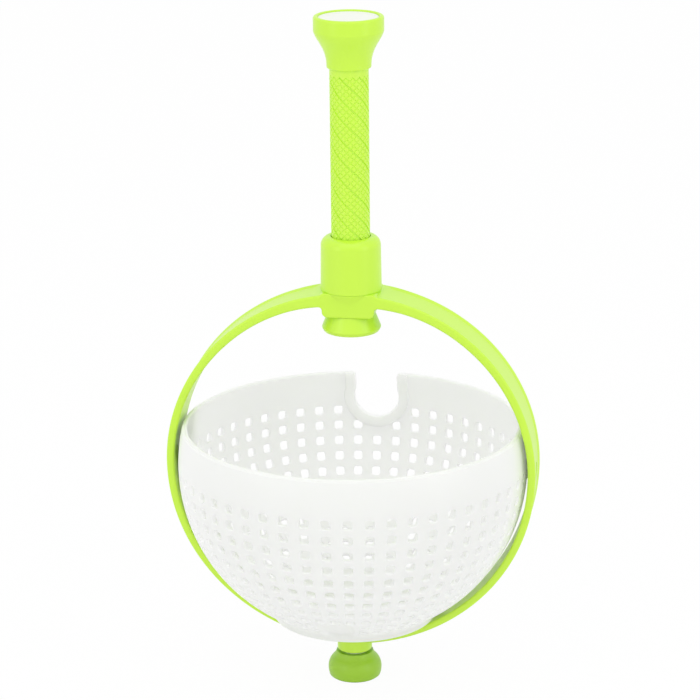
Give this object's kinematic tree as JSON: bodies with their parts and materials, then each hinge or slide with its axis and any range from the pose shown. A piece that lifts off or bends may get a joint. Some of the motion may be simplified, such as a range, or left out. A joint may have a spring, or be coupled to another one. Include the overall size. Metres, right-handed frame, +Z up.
{
  "type": "salad spinner",
  "caption": "Pump-handled salad spinner: a perforated bowl tips in a hoop that spins on a small foot as a spiral shaft is pushed down through the collar.",
  "frame": {"origin": "centre of the ring-shaped sole under the foot", "axes": "+Z up along the handle and the spin axis, +X along the basket's pivots, +Y towards the keyhole notch in the basket's rim"},
  "size_m": [0.24, 0.2263, 0.4416],
  "materials": {
    "frame_green": "satin moulded",
    "handle_green": "satin moulded",
    "foot_green": "satin moulded",
    "white_plastic": "satin moulded",
    "bearing_white": "plain acetal",
    "sole_rubber": "matte",
    "steel": "plain"
  },
  "bodies": {
    "foot": {"foot_pad": "sole_rubber", "foot_shell": "foot_green", "axle": "steel", "thrust_washer": "bearing_white", "retaining_washer": "steel", "retaining_screw": "steel"},
    "frame": {"hoop": "frame_green", "hub_bush": "bearing_white", "collar": "frame_green", "collar_screws": "steel", "lower_bush": "bearing_white", "upper_bush": "bearing_white", "clutch_ring": "bearing_white", "pivot_pin_right": "frame_green", "pivot_pin_left": "frame_green"},
    "handle": {"spiral_shaft": "handle_green", "stop_bell": "handle_green", "bell_pin": "steel", "knob": "handle_green", "knob_cap": "white_plastic", "knob_screw": "steel"},
    "drive_nut": {"drive_nut": "bearing_white"},
    "basket": {"basket": "white_plastic"}
  },
  "joints": [
    {"name": "frame_spin", "type": "hinge", "parent": "foot", "child": "frame", "pos_m": [0, 0, 0.02], "axis": [0, 0, 1], "continuous": true},
    {"name": "pump", "type": "slide", "parent": "foot", "child": "handle", "axis": [0, 0, 1], "range_m": [-0.104, 0]},
    {"name": "nut_turn", "type": "hinge", "parent": "foot", "child": "drive_nut", "pos_m": [0, 0, 0.28], "axis": [0, 0, 1], "range_deg": [-481, 1]},
    {"name": "basket_tip", "type": "hinge", "parent": "frame", "child": "basket", "pos_m": [0, 0, 0.14899], "axis": [1, 0, 0], "range_deg": [0, 62]}
  ],
  "couplings": [
    {"joint": "nut_turn", "follows": "pump", "rad_per_m": 80.554}
  ]
}
